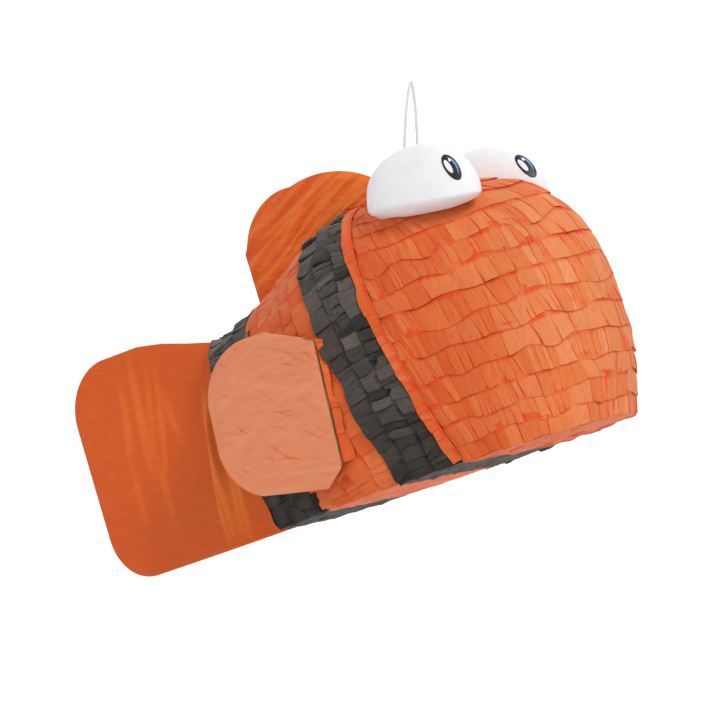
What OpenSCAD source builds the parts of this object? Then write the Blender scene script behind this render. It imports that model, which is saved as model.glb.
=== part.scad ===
// Hanging fish-shaped pinata: a body of corrugated card and a head of moulded paper, covered in
// pleated crepe rows.
// It is drawn at its rest pose, nose up, below the loop of string that holds it.
// Frame: origin where the hook bears on the loop, +Z up, +X towards the nose, +Y to the left.
// The fish itself is laid out in its own upright frame (flat underside on z = 0, x = 0 at the
// tail's lower corner) and tilted into place by hung().

/* [Body] */
// Nose-up tilt of the flat underside when the fish hangs at rest
tilt = 20.5; // [10:0.5:30]
// Distance from the tail's lower corner to the body's rear end, along the underside
rear_x = 192; // [170:1:210]
// Distance from the tail's lower corner to the front band's front edge, along the underside
head_x = 408; // [390:1:420]
// Length of the head, from the front band to the nose, along the underside
nose_l = 108; // [90:1:120]
// How far the face bulges forward of the underside
nose_bulge = 19; // [5:1:25]
// Half width of the underside at the body's rear end
rear_half_w = 38; // [30:1:45]
// Extra half width of the underside at its widest
belly_half_w = 40; // [30:1:46]
// Height of the back at the body's rear end
rear_h = 175; // [165:1:185]
// Extra height of the back at the front band
back_rise = 55; // [40:1:60]
// How far the brow slopes back from the most forward point of the face
brow_drop = 88; // [70:1:100]
// Sideways bulge of the walls, as a share of the half width
bulge = 0.08; // [0.02:0.01:0.12]

/* [Materials] */
// Thickness of the corrugated card
card_t = 3; // [2:0.5:4]
// Thickness of the moulded paper head
mould_t = 1.5; // [1.2:0.1:3]
// Thickness of the pleated crepe layer as a plain skin
crepe_t = 0.4; // [0.3:0.1:1]
// Thickness of the card inside a fin
fin_card_t = 1.6; // [1.2:0.1:3]
// Thickness of the smooth tissue on a fin
tissue_t = 0.2; // [0.1:0.1:0.6]
// Diameter of the hanging string
string_d = 2.5; // [1.5:0.5:3]

/* [Hanging] */
// Height of the string loop above its two exits
loop_h = 91; // [70:1:100]
// Distance between the loop's two legs where they leave the crown
leg_gap = 18; // [16:1:30]
// Place of the loop along the fish
hang_x = 387; // [375:1:400]

/* [Eyes] */
// Length of an eye dome's oval
eye_l = 108; // [100:2:120]
// Width of an eye dome's oval
eye_w = 42; // [36:2:60]
// Height of an eye dome above its widest line
eye_rise = 45; // [40:1:55]

/* [Filling flap] */
// Gap all round the flap
flap_gap = 1; // [0.6:0.1:1.5]

/* [Hidden] */

orange = "#e07a45";
fin_orange = "#d9703a";
band_grey = "#494642";
card_brown = "#b08a5c";

// Edges of the crepe strips along the body, as shares from its rear end (0) to the head (1)
rear_band_end = 0.3;
front_band_start = 0.73;

// Layers, measured from the outside of the card: skins lie outside, card inside
skin_in = 0.2;
skin_out = skin_in + crepe_t;

rear_lean = 0.22;       // backward lean of the rear end, as a slope
band_lean = 0.28;       // backward lean of the head's edge
knee = 0.3;             // height of the widest point, as a share
knee_t = 0.34;          // where that lies along the wall's curve
side_t = 0.78;          // where the side walls end and the back begins
face_t = 0.66;          // where the face ends and the crown begins
crown_drop = 95;        // how far the crown flattens out behind the brow
face_knee = 80;         // height of the most forward point of the face
strip_w = 7;            // width of the edging strip where the front band meets the head

// ---- The fish's outer shape -------------------------------------------------------------
function mix(a, b, k) = a + (b - a) * k;
function smooth(k) = k * k * (3 - 2 * k);
function height_share(t) =
    t < knee_t ? knee * t / knee_t
               : knee + (1 - knee) * pow(sin(90 * (t - knee_t) / (1 - knee_t)), 0.91);
function width_share(t) =
    t < knee_t ? 1 + bulge * sin(90 * t / knee_t)
               : (1 + bulge) * pow(max(cos(90 * (t - knee_t) / (1 - knee_t)), 0), 0.95);
function base_x(s) = mix(rear_x, head_x, s);
function lean(s) = mix(rear_lean, band_lean, s);
function half_w(s) = rear_half_w + belly_half_w * sin(112.5 * s);
function back_h(s) = rear_h + back_rise * smooth(s);
// Height of a point of the wall; off moves the whole skin outwards
function wall_z(s, t, off) =
    let (low = skin_out - off)
    mix(low, back_h(s) + off, height_share(t));
// Body: s runs forward from the rear end, t runs up from the underside to the ridge
function body_pt(s, t, off) =
    let (z = wall_z(s, t, off))
    [base_x(s) - lean(s) * z, -(half_w(s) + off) * width_share(t), z];
function nose_x(z) =
    z < face_knee ? head_x + nose_l + nose_bulge * sin(90 * z / face_knee)
                  : let (k = (z - face_knee) / (back_h(1) - face_knee))
                    head_x + nose_l + nose_bulge - brow_drop * pow(k, 3) - crown_drop * pow(k, 13);
// Head: phi runs from 90 on the right through 0 at the nose to -90 on the left
function head_pt(phi, t, off) =
    let (start = body_pt(1, t, off),
         length = nose_x(wall_z(1, t, 0)) + off - start.x)
    [start.x + length * cos(phi), start.y * sin(phi), start.z];

// ---- Sheets -----------------------------------------------------------------------------
// A solid sheet between two grids of points. cut = [row0, row1, col0, col1] leaves a window.
// From the row called ridge on, its facets are mirrored, so that left and right match.
module sheet(outer, inner, cut = [-1, -1, -1, -1], fold = false, ridge = 1000) {
    rows = len(outer);
    cols = len(outer[0]);
    mid = (rows - 1) / 2;
    function kept(i, j) =
        i >= 0 && j >= 0 && i < rows - 1 && j < cols - 1
        && !(i >= cut[0] && i < cut[1] && j >= cut[2] && j < cut[3]);
    function at(i, j, layer) =
        let (k = fold && j == cols - 1 && i > mid ? 2 * mid - i : i)
        (layer * rows + k) * cols + j;
    function wall(p, q) = [
        [at(q[0], q[1], 0), at(p[0], p[1], 0), at(p[0], p[1], 1)],
        [at(q[0], q[1], 0), at(p[0], p[1], 1), at(q[0], q[1], 1)]
    ];
    faces = [
        for (i = [0 : rows - 2], j = [0 : cols - 2]) if (kept(i, j))
            let (a = [i, j], b = [i, j + 1], c = [i + 1, j + 1], d = [i + 1, j],
                 front_open = j == cols - 2 && !fold,
                 turn = i < ridge ? [a, d, c, b] : [d, c, b, a],
                 o = [for (p = turn) at(p[0], p[1], 0)],
                 n = [for (p = turn) at(p[0], p[1], 1)])
            each concat(
                [[o[0], o[1], o[2]], [o[0], o[2], o[3]], [n[0], n[2], n[1]], [n[0], n[3], n[2]]],
                kept(i, j - 1) ? [] : wall(a, d),
                kept(i + 1, j) ? [] : wall(d, c),
                (j < cols - 2 && !kept(i, j + 1)) || front_open ? wall(c, b) : [],
                kept(i - 1, j) ? [] : wall(b, a))
    ];
    polyhedron([for (grid = [outer, inner], row = grid, p = row) p], faces, convexity = 6);
}

function flip(p) = [p.x, -p.y, p.z];
// The wrap runs 0 to 1 up the right side and 1 to 2 down the left
function body_wrap(s, wrap, off) =
    wrap <= 1 ? body_pt(s, wrap, off) : flip(body_pt(s, 2 - wrap, off));
function body_grid(stations, wraps, off) = [
    for (w = wraps) [for (s = stations) body_wrap(s, w, off)]
];
function head_wrap(phi, wrap, off) =
    wrap <= 1 ? head_pt(phi, wrap, off) : flip(head_pt(phi, 2 - wrap, off));
// Right over the head from side to side, from one height of its sides to the other
function over_grid(t0, off, np, nw) = [
    for (i = [0 : nw]) [for (j = [0 : np]) head_wrap(90 - 90 * j / np, mix(t0, 2 - t0, i / nw), off)]
];
function face_grid(t0, t1, off, np, nt, phi0 = 90, phi1 = -90) = [
    for (i = [0 : nt]) [for (j = [0 : np]) head_pt(mix(phi0, phi1, j / np), mix(t0, t1, i / nt), off)]
];

// Card and crepe share their stations along the body and their steps up the wall, so that one
// layer nests on the other
function steps(a, b, n) = [for (k = [0 : n]) mix(a, b, k / n)];
function rest(list) = [for (k = [1 : len(list) - 1]) list[k]];
rear_s = steps(0, rear_band_end, 4);
middle_s = steps(rear_band_end, front_band_start, 5);
strip_start = 1 - strip_w / (head_x - rear_x);
front_s = concat(steps(front_band_start, strip_start, 3), [1]);
body_s = concat(rear_s, rest(middle_s), rest(front_s));
strip_foot = 0.02;      // the edging strip stops just short of the underside
side_w = concat([0], steps(strip_foot, side_t, 9));
roof_w = steps(side_t, 1, 4);
function mirrored(wraps) = [for (k = [len(wraps) - 1 : -1 : 0]) 2 - wraps[k]];
half_wrap = concat(side_w, rest(roof_w));
full_wrap = concat(half_wrap, rest(mirrored(half_wrap)));

// A sheet of card or skin on the body, at the given stations and heights
module body_sheet(stations, wraps, out, inn, ridge = 1000) {
    sheet(body_grid(stations, wraps, out), body_grid(stations, wraps, inn), ridge = ridge);
}

// A closed wrap of crepe right round the body, underside included
module body_band(stations) {
    ns = len(stations) - 1;
    count = len(full_wrap);
    ridge = len(half_wrap) - 1;
    at = function (j, k, layer) (layer * (ns + 1) + j) * count + (k % count);
    points = [
        for (off = [skin_out, skin_in], s = stations, w = full_wrap) body_wrap(s, w, off)
    ];
    faces = [
        for (j = [0 : ns - 1], k = [0 : count - 1])
            let (a = [j, k], b = [j + 1, k], c = [j + 1, k + 1], d = [j, k + 1],
                 turn = k < ridge ? [a, d, c, b] : [d, c, b, a],
                 o = [for (p = turn) at(p[0], p[1], 0)],
                 n = [for (p = turn) at(p[0], p[1], 1)])
            each [[o[0], o[1], o[2]], [o[0], o[2], o[3]], [n[0], n[2], n[1]], [n[0], n[3], n[2]]],
        for (k = [0 : count - 1])
            each [
                [at(0, k, 0), at(0, k, 1), at(0, k + 1, 1)],
                [at(0, k, 0), at(0, k + 1, 1), at(0, k + 1, 0)],
                [at(ns, k, 0), at(ns, k + 1, 1), at(ns, k, 1)],
                [at(ns, k, 0), at(ns, k + 1, 0), at(ns, k + 1, 1)]
            ]
    ];
    polyhedron(points, faces, convexity = 6);
}

// ---- Placing ----------------------------------------------------------------------------
exit_drop = 1.2;        // how far the two exits lie below the ridge of the crown
ridge = [for (k = [40 : -1 : 0]) let (z = back_h(1) - k) [nose_x(z), z]];
function ridge_z(x) = lookup(x, ridge);
hang_z = ridge_z(hang_x) + skin_out - exit_drop;

// Tilts the upright fish and hangs it below the loop
module hung() {
    translate([0, 0, -loop_h])
        rotate([0, -tilt, 0])
            translate([-hang_x, 0, -hang_z])
                children();
}
module left_of() {
    mirror([0, 1, 0]) children();
}

// ---- String loop ------------------------------------------------------------------------
leg_y = leg_gap / 2;
leg_end = 0.8;          // clearance between the legs and the crown
loop_leg = [
    [leg_y, leg_end - loop_h],
    [leg_y + 1, -0.71 * loop_h],
    [leg_y, -0.47 * loop_h],
    [0.75 * leg_y, -0.24 * loop_h],
    [0.42 * leg_y, -0.08 * loop_h]
];
loop_path = concat(
    [for (p = loop_leg) [0, -p.x, p.y]],
    [[0, 0, string_d / 2]],
    [for (k = [len(loop_leg) - 1 : -1 : 0]) [0, loop_leg[k].x, loop_leg[k].y]]);
function spline(p, k, u) =
    let (n = len(p) - 1, a = p[max(k - 1, 0)], b = p[k], c = p[k + 1], d = p[min(k + 2, n)])
    0.5 * (2 * b + (c - a) * u + (2 * a - 5 * b + 4 * c - d) * u * u
           + (3 * b - a - 3 * c + d) * u * u * u);
function unit(v) = v / norm(v);

// A round tube swept along a route that lies in the plane x = 0
module flat_tube(path, d, steps, sides) {
    line = concat(
        [for (k = [0 : len(path) - 2], u = [0 : steps - 1]) spline(path, k, u / steps)],
        [path[len(path) - 1]]);
    last = len(line) - 1;
    points = [
        for (k = [0 : last])
            let (run = unit(line[min(k + 1, last)] - line[max(k - 1, 0)]), across = cross([1, 0, 0], run))
            for (a = [0 : sides - 1])
                line[k] + d / 2 * (cos(360 * a / sides) * [1, 0, 0] + sin(360 * a / sides) * across)
    ];
    faces = concat(
        [[for (a = [sides - 1 : -1 : 0]) a]],
        [[for (a = [0 : sides - 1]) last * sides + a]],
        [for (k = [0 : last - 1], a = [0 : sides - 1])
            let (b = (a + 1) % sides)
            each [
                [k * sides + a, (k + 1) * sides + b, (k + 1) * sides + a],
                [k * sides + a, k * sides + b, (k + 1) * sides + b]
            ]]);
    polyhedron(points, faces, convexity = 4);
}

module hang_loop() {
    color("white") flat_tube(loop_path, string_d, 3, 8);
}

// Holes for the two legs of the string, straight down in the hung pose
module string_holes() {
    for (y = [-leg_y, leg_y])
        translate([hang_x, y, hang_z])
            rotate([0, tilt, 0])
                cylinder(h = 60, d = 2.4 * string_d, center = true, $fn = 24);
}

// ---- Card shell -------------------------------------------------------------------------
base_steps = 10;
nose_steps = 20;
// Outline of the underside, drawn in by a margin
function base_outline(margin) =
    let (right = [for (k = [0 : base_steps])
             let (s = k / base_steps) [base_x(s) + (k == 0 ? margin : 0), -(half_w(s) - margin)]],
         nose = [for (k = [1 : nose_steps - 1])
             let (phi = 90 - 180 * k / nose_steps)
             [head_x + (nose_l - margin) * cos(phi), -(half_w(1) - margin) * sin(phi)]])
    concat(right, nose, [for (k = [base_steps : -1 : 0]) [right[k].x, -right[k].y]]);

module base_panel() {
    color(card_brown)
        hung()
            translate([0, 0, skin_out])
                linear_extrude(card_t)
                    polygon(base_outline(card_t + 0.3));
}

module side_panel() {
    color(card_brown) body_sheet(body_s, side_w, 0, -card_t);
}
module right_side_panel() {
    hung() side_panel();
}
module left_side_panel() {
    hung() left_of() side_panel();
}

module back_panel() {
    color(card_brown)
        hung()
            body_sheet(body_s, concat(roof_w, rest(mirrored(roof_w))), 0, -card_t, len(roof_w) - 1);
}

// Section of the body's rear end in its own leaning plane
rear_slope = atan(rear_lean);
function rear_section(off) = [
    for (w = full_wrap)
        let (p = body_wrap(0, w, off))
        [p.y, p.z / cos(rear_slope)]
];
module rear_end_panel() {
    color(card_brown)
        hung()
            translate([rear_x, 0, 0])
                rotate([0, -rear_slope, 0])
                    rotate([90, 0, 90])
                        linear_extrude(card_t)
                            polygon(rear_section(-card_t - 0.5));
}

// The filling flap lies in rows and columns of the face's grid, on the left cheek
face_rows = 11;
face_cols = 30;
flap_rows = [4, 8];
flap_cols = [24, 29];
flap_cut = [flap_rows[0], flap_rows[1], flap_cols[0], flap_cols[1]];

module face_panel() {
    color(card_brown)
        hung()
            sheet(face_grid(0, face_t, 0, face_cols, face_rows),
                  face_grid(0, face_t, -mould_t, face_cols, face_rows), flap_cut);
}
crown_cols = face_cols / 2;
module crown_sheet(out, inn) {
    sheet(over_grid(face_t, out, crown_cols, 20), over_grid(face_t, inn, crown_cols, 20),
          fold = true, ridge = 10);
}
module crown_panel() {
    color(card_brown)
        hung()
            difference() {
                crown_sheet(0, -mould_t);
                string_holes();
            }
}

// Card plate glued under the crown to spread the string's pull
patch_l = 44;
patch_w = 32;
patch_t = 2;
patch_drop = 3.5;
crown_slope = atan((ridge_z(hang_x - patch_l / 2) - ridge_z(hang_x + patch_l / 2)) / patch_l);
module crown_patch() {
    color(card_brown)
        hung()
            difference() {
                translate([hang_x, 0, hang_z - patch_drop])
                    rotate([0, crown_slope, 0])
                        translate([-patch_l / 2, -patch_w / 2, -patch_t])
                            cube([patch_l, patch_w, patch_t]);
                string_holes();
            }
}
rod_d = 5;
rod_l = 38;
rod_z = hang_z - patch_drop - patch_t - rod_d / 2 - string_d;
rod_x = hang_x - tan(tilt) * (hang_z - rod_z);
module anchor_rod() {
    color("burlywood")
        hung()
            translate([rod_x, 0, rod_z])
                rotate([90, 0, 0])
                    cylinder(h = rod_l, d = rod_d, center = true, $fn = 32);
}
// The string's two ends, tied round the rod under the crown
module string_ties() {
    color("white")
        hung()
            for (y = [-leg_y, leg_y])
                translate([rod_x, y, rod_z])
                    rotate([90, 0, 0])
                        rotate_extrude($fn = 32)
                            translate([rod_d / 2 + string_d / 2, 0])
                                circle(d = string_d, $fn = 16);
}

// ---- Crepe covers -----------------------------------------------------------------------
module rear_band_crepe() {
    color(band_grey) hung() body_band(rear_s);
}
module middle_crepe() {
    color(orange) hung() body_band(middle_s);
}
module front_band_crepe() {
    color(band_grey) hung() body_band(front_s);
}
// Narrow strip glued over the join between the front band and the head
module band_edge_strip() {
    strip_wraps = [for (w = half_wrap) if (w >= strip_foot && w < 0.98) w];
    strip_in = skin_out + 0.05;
    strip_out = strip_in + 0.5;
    color(orange)
        hung()
            for (side = [0, 1])
                mirror([0, side, 0])
                    body_sheet([strip_start, 1], strip_wraps, strip_out, strip_in);
}
module cheek_crepe() {
    color(orange)
        hung()
            sheet(face_grid(0, face_t, skin_out, face_cols, face_rows),
                  face_grid(0, face_t, skin_in, face_cols, face_rows), flap_cut);
}
module crown_crepe() {
    color(orange)
        hung()
            difference() {
                crown_sheet(skin_out, skin_in);
                string_holes();
            }
}
module head_base_crepe() {
    color(orange)
        hung()
            linear_extrude(crepe_t)
                intersection() {
                    polygon(base_outline(0.5));
                    translate([head_x + 0.3, -100])
                        square(200);
                }
}

// ---- Filling flap -----------------------------------------------------------------------
// The flap is the piece of card and crepe cut out of the cheek, smaller all round by the gap
module flap_sheet(out, inn) {
    row_t = face_t / face_rows;
    col_phi = 180 / face_cols;
    dt = 0.0036 * flap_gap;
    dphi = 0.75 * flap_gap;
    t0 = flap_rows[0] * row_t + dt;
    t1 = flap_rows[1] * row_t - dt;
    phi0 = 90 - flap_cols[0] * col_phi - dphi;
    phi1 = 90 - flap_cols[1] * col_phi + dphi;
    sheet(face_grid(t0, t1, out, 5, 4, phi0, phi1), face_grid(t0, t1, inn, 5, 4, phi0, phi1));
}
module filling_flap() {
    color(card_brown) hung() flap_sheet(0, -mould_t);
}
module filling_flap_crepe() {
    color(orange) hung() flap_sheet(skin_out, skin_in);
}

// ---- Fins -------------------------------------------------------------------------------
function arc(c, r, a0, a1, n) = [
    for (k = [0 : n]) let (a = mix(a0, a1, k / n)) [c.x + r * cos(a), c.y + r * sin(a)]
];
// A flat fin in the plane y = 0: card in the middle, tissue on both faces
module slab(y0, thickness) {
    translate([0, y0 + thickness, 0])
        rotate([90, 0, 0])
            linear_extrude(thickness)
                children();
}
module fin_card() {
    slab(-fin_card_t / 2, fin_card_t) children();
}
module fin_tissue(side) {
    slab(side > 0 ? fin_card_t / 2 : -fin_card_t / 2 - tissue_t, tissue_t) children();
}

// Ridge of the back and crown, seen from the side
back_line = concat(
    [for (k = [0 : 12]) let (p = body_pt(k / 12, 1, skin_out + 0.3)) [p.x, p.z]],
    [for (k = [0 : 8]) let (p = head_pt(0, 1 - 0.03 * k, skin_out + 0.3)) [p.x, p.z]]);
module dorsal_outline() {
    difference() {
        intersection() {
            union() {
                translate([262, 222]) circle(r = 53, $fn = 64);
                translate([290, 170]) circle(r = 105, $fn = 96);
            }
            translate([209, 150]) square([160, 140]);
        }
        polygon(concat(back_line, [[500, 100], [100, 100]]));
    }
}
module dorsal_board() {
    color(card_brown) hung() fin_card() dorsal_outline();
}
module dorsal_tissue_right() {
    color(fin_orange) hung() fin_tissue(-1) dorsal_outline();
}
module dorsal_tissue_left() {
    color(fin_orange) hung() fin_tissue(1) dorsal_outline();
}

tail_low = 0.5;
module tail_outline() {
    joint_x = rear_x - 0.3;
    polygon(concat(
        arc([12, 44 + tail_low], 44, 180, 270, 10),
        [[joint_x - rear_lean * tail_low, tail_low], [joint_x - rear_lean * 174, 174]],
        [[118, 184], [90, 193], [62, 199]],
        arc([17, 151], 50, 90, 180, 10)));
}
module tail_board() {
    color(card_brown) hung() fin_card() tail_outline();
}
module tail_tissue_right() {
    color(fin_orange) hung() fin_tissue(-1) tail_outline();
}
module tail_tissue_left() {
    color(fin_orange) hung() fin_tissue(1) tail_outline();
}
// Two card tabs that hold the tail to the rear end, one on each face
tab_w = 11;
tab_t = 1.2;
module tail_tabs() {
    color(fin_orange)
        hung()
            translate([rear_x, 0, 0])
                rotate([0, -rear_slope, 0])
                    for (side = [0, 1])
                        mirror([0, side, 0])
                            translate([-tab_t - 0.2, fin_card_t / 2 + tissue_t, 12])
                                cube([tab_t, tab_w, 145]);
}

// Side fins: a hinge line up the side of the body, and a rounded plate behind it
fin_y = 86;             // distance of the fin's plane from the middle
fin_low = [305, 29];    // lower end of the crease
fin_high = [313, 130];  // upper end of the crease
module side_fin_outline() {
    polygon(concat(
        [fin_high],
        [[266, 151]],
        arc([243, 99], 53, 90, 165, 8),
        arc([238, 74], 50, 185, 250, 8),
        [[285, 15]],
        [fin_low]));
}
module side_fin(side) {
    translate([0, side * fin_y, 0]) children();
}
module right_fin_board() {
    color(card_brown) hung() side_fin(-1) fin_card() side_fin_outline();
}
module right_fin_outer_tissue() {
    color(fin_orange) hung() side_fin(-1) fin_tissue(-1) side_fin_outline();
}
module right_fin_inner_tissue() {
    color(fin_orange) hung() side_fin(-1) fin_tissue(1) side_fin_outline();
}
module left_fin_board() {
    color(card_brown) hung() side_fin(1) fin_card() side_fin_outline();
}
module left_fin_outer_tissue() {
    color(fin_orange) hung() side_fin(1) fin_tissue(1) side_fin_outline();
}
module left_fin_inner_tissue() {
    color(fin_orange) hung() side_fin(1) fin_tissue(-1) side_fin_outline();
}
// Glue tab in front of a side fin's crease, clear of the fin as it folds out; it narrows upwards,
// to stop short of the front band
tab_gap = 1.3;
tab_top_w = 4;
module fin_tab(side) {
    color(fin_orange)
        hung()
            side_fin(side)
                slab(-tab_t / 2, tab_t)
                    polygon([fin_low + [tab_gap, 0], fin_low + [tab_w, 0], fin_high + [tab_top_w, 0],
                             fin_high + [tab_gap, 0]]);
}
module right_fin_tab() {
    fin_tab(-1);
}
module left_fin_tab() {
    fin_tab(1);
}

// ---- Eyes -------------------------------------------------------------------------------
// A dome is half an egg: tall above its widest line and shallow below it
eye_at = [428, -51, 206];
eye_dip = 10;
eye_tilt = 11;          // how far its widest line slopes down towards the nose
eye_wall = 1.6;
eye_back = [381, 0, 203];
module eye_half(rise, grow) {
    intersection() {
        resize([eye_l + 2 * grow, eye_w + 2 * grow, 2 * (abs(rise) + grow)])
            sphere(d = 100, $fn = 32);
        translate([-100, -100, rise > 0 ? 0 : -100])
            cube([200, 200, 100]);
    }
}
module eye_egg(grow) {
    translate(eye_at)
        rotate([0, eye_tilt, 0]) {
            eye_half(eye_rise, grow);
            eye_half(-eye_dip, grow);
        }
}
// Everything behind the eye's blunt rear edge
module eye_trim(inset) {
    translate(eye_back + [inset, 0, 0])
        rotate([0, 12, 0])
            translate([-80, -100, -80])
                cube([80, 200, 200]);
}
// The head below its crepe, thick enough to trim an eye dome
module head_block(off) {
    sheet(over_grid(0.3, off, crown_cols, 48), over_grid(0.3, -62, crown_cols, 48),
          fold = true, ridge = 24);
}
module eye_dome() {
    color("white")
        difference() {
            eye_egg(0);
            eye_trim(0);
            head_block(skin_out + 0.6);
            difference() {
                eye_egg(-eye_wall);
                eye_trim(eye_wall);
            }
        }
}
module right_eye_dome() {
    hung() eye_dome();
}
module left_eye_dome() {
    hung() left_of() eye_dome();
}
// An oval sticker that follows the dome, from where it lies and which way it faces
print_l = 25;
print_w = 11;
print_along = [0.148, 0.246, -0.96];
module print_oval(at, facing) {
    n = unit(facing);
    u = unit(print_along - n * (print_along * n));
    v = cross(n, u);
    multmatrix([[u.x, v.x, n.x, at.x], [u.y, v.y, n.y, at.y], [u.z, v.z, n.z, at.z]])
        scale([print_l / 2, print_w / 2, 1])
            cylinder(h = 30, r = 1, center = true, $fn = 32);
}
module right_eye_decal() {
    color("black")
        hung()
            difference() {
                intersection() {
                    eye_egg(0.5);
                    print_oval([469, -62, 219], [0.46, -0.86, 0.22]);
                }
                eye_egg(0.1);
            }
}
module left_eye_decal() {
    color("black")
        hung()
            difference() {
                intersection() {
                    left_of() eye_egg(0.5);
                    print_oval([474, 42.5, 219], [0.7, -0.64, 0.3]);
                }
                left_of() eye_egg(0.1);
            }
}

// ---- Assembly ---------------------------------------------------------------------------
hang_loop();
base_panel();
right_side_panel();
left_side_panel();
back_panel();
rear_end_panel();
face_panel();
crown_panel();
crown_patch();
anchor_rod();
string_ties();
rear_band_crepe();
middle_crepe();
front_band_crepe();
band_edge_strip();
cheek_crepe();
crown_crepe();
head_base_crepe();
dorsal_board();
dorsal_tissue_right();
dorsal_tissue_left();
tail_board();
tail_tissue_right();
tail_tissue_left();
tail_tabs();
right_eye_dome();
left_eye_dome();
right_eye_decal();
left_eye_decal();
right_fin_tab();
left_fin_tab();
right_fin_board();
right_fin_outer_tissue();
right_fin_inner_tissue();
left_fin_board();
left_fin_outer_tissue();
left_fin_inner_tissue();
filling_flap();
filling_flap_crepe();
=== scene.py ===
"""A hanging fish-shaped pinata: pleated crepe rows over a card body and a moulded paper head."""

import math

import bmesh
import bpy
import numpy as np
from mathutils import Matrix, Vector
from mathutils.bvhtree import BVHTree


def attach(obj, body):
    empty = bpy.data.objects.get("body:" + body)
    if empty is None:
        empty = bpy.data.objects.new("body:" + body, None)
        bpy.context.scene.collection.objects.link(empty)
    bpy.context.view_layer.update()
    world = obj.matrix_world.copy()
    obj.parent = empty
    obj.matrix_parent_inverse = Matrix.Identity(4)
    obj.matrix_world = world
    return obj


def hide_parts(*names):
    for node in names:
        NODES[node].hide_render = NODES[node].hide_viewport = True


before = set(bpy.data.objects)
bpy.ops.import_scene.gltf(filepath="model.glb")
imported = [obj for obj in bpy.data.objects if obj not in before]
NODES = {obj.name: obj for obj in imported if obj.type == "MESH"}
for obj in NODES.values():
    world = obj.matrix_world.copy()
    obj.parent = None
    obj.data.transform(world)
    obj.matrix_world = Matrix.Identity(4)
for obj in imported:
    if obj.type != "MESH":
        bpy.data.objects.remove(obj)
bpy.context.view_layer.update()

# ---- The fish's shape, in mm, in its own upright frame, as the CAD source draws it ----------
TILT = math.radians(20.5)
REAR_X, HEAD_X, NOSE_L, NOSE_BULGE = 192.0, 408.0, 108.0, 19.0
REAR_HALF_W, BELLY_HALF_W, REAR_H, BACK_RISE = 38.0, 40.0, 175.0, 55.0
BULGE = 0.08
LOOP_H, LEG_Y, HANG_X, HANG_Z, STRING_D = 91.0, 9.0, 387.0, 225.4, 2.5
REAR_LEAN, BAND_LEAN, KNEE, KNEE_T = 0.22, 0.28, 0.3, 0.34
FACE_T, BROW_DROP, CROWN_DROP, FACE_KNEE = 0.66, 88.0, 95.0, 80.0
REAR_BAND_END, FRONT_BAND_START, STRIP_W = 0.3, 0.73, 7.0
SKIN = 0.6
FIN_CARD_T, TISSUE_T, TISSUE_PAST = 1.6, 0.2, 1.2
FIN_Y = 86.0
FIN_LOW, FIN_HIGH = (305.0, 29.0), (313.0, 130.0)
FLAP_T, FLAP_PHI = (0.24, 0.48), (-54.0, -84.0)
EYE_AT = np.array([428.0, -51.0, 206.0])
EYE_R, EYE_DIP, EYE_TILT = np.array([54.0, 21.0, 45.0]), 10.0, math.radians(11)


def mix(a, b, k):
    return a + (b - a) * k


def sind(a):
    return np.sin(np.radians(a))


def cosd(a):
    return np.cos(np.radians(a))


def smooth(k):
    k = np.clip(k, 0, 1)
    return k * k * (3 - 2 * k)


def height_share(t):
    up = np.clip(sind(90 * (t - KNEE_T) / (1 - KNEE_T)), 0, None) ** 0.91
    return np.where(t < KNEE_T, KNEE * t / KNEE_T, KNEE + (1 - KNEE) * up)


def width_share(t):
    top = (1 + BULGE) * np.clip(cosd(90 * (t - KNEE_T) / (1 - KNEE_T)), 0, None) ** 0.95
    return np.where(t < KNEE_T, 1 + BULGE * sind(90 * t / KNEE_T), top)


def half_w(s):
    return REAR_HALF_W + BELLY_HALF_W * sind(112.5 * s)


def back_h(s):
    return REAR_H + BACK_RISE * s * s * (3 - 2 * s)


def body_x(s, z):
    return mix(REAR_X, HEAD_X, s) - mix(REAR_LEAN, BAND_LEAN, s) * z


def stack(x, y, z):
    return np.stack(np.broadcast_arrays(x, y, z), -1)


def body_pt(s, t, off):
    """s runs forward from the rear end, t up from the underside to the ridge, off is outwards."""
    z = mix(SKIN - off, back_h(s) + off, height_share(t))
    return stack(body_x(s, z), -(half_w(s) + off) * width_share(t), z)


def body_ring(s, w, h):
    """Right round the body: w runs -1 to 0 on the right half of the underside, 0 to 1 up the right
    side, 1 to 2 down the left, and 2 to 3 on the underside's left half."""
    off = SKIN + h
    p = body_pt(s, np.clip(np.where(w <= 1, w, 2 - w), 0, 1), off)
    share = np.where(w < 0, 1 + w, np.where(w > 2, 3 - w, 1.0))
    p[..., 1] *= np.where(w <= 1, 1, -1) * share
    return p


def nose_x(z):
    low = HEAD_X + NOSE_L + NOSE_BULGE * sind(90 * z / FACE_KNEE)
    back = np.clip((z - FACE_KNEE) / (back_h(1) - FACE_KNEE), 0, None)
    high = HEAD_X + NOSE_L + NOSE_BULGE - BROW_DROP * back**3 - CROWN_DROP * back**13
    return np.where(z < FACE_KNEE, low, high)


def head_pt(phi, t, h):
    """phi runs from 90 on the right, through 0 at the nose, to -90 on the left."""
    t = np.clip(t, 0, 1)
    off = SKIN + h
    start = body_pt(1.0, t, off)
    length = nose_x(mix(SKIN, back_h(1), height_share(t))) + off - start[..., 0]
    return stack(start[..., 0] + length * cosd(phi), start[..., 1] * sind(phi), start[..., 2])


def hung(p):
    """From the fish's upright frame to the row frame, in metres."""
    x, z = p[..., 0] - HANG_X, p[..., 2] - HANG_Z
    c, s = math.cos(TILT), math.sin(TILT)
    return stack(x * c - z * s, p[..., 1], x * s + z * c - LOOP_H) / 1000


def flip(p):
    return p * np.array([1, -1, 1])


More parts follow.
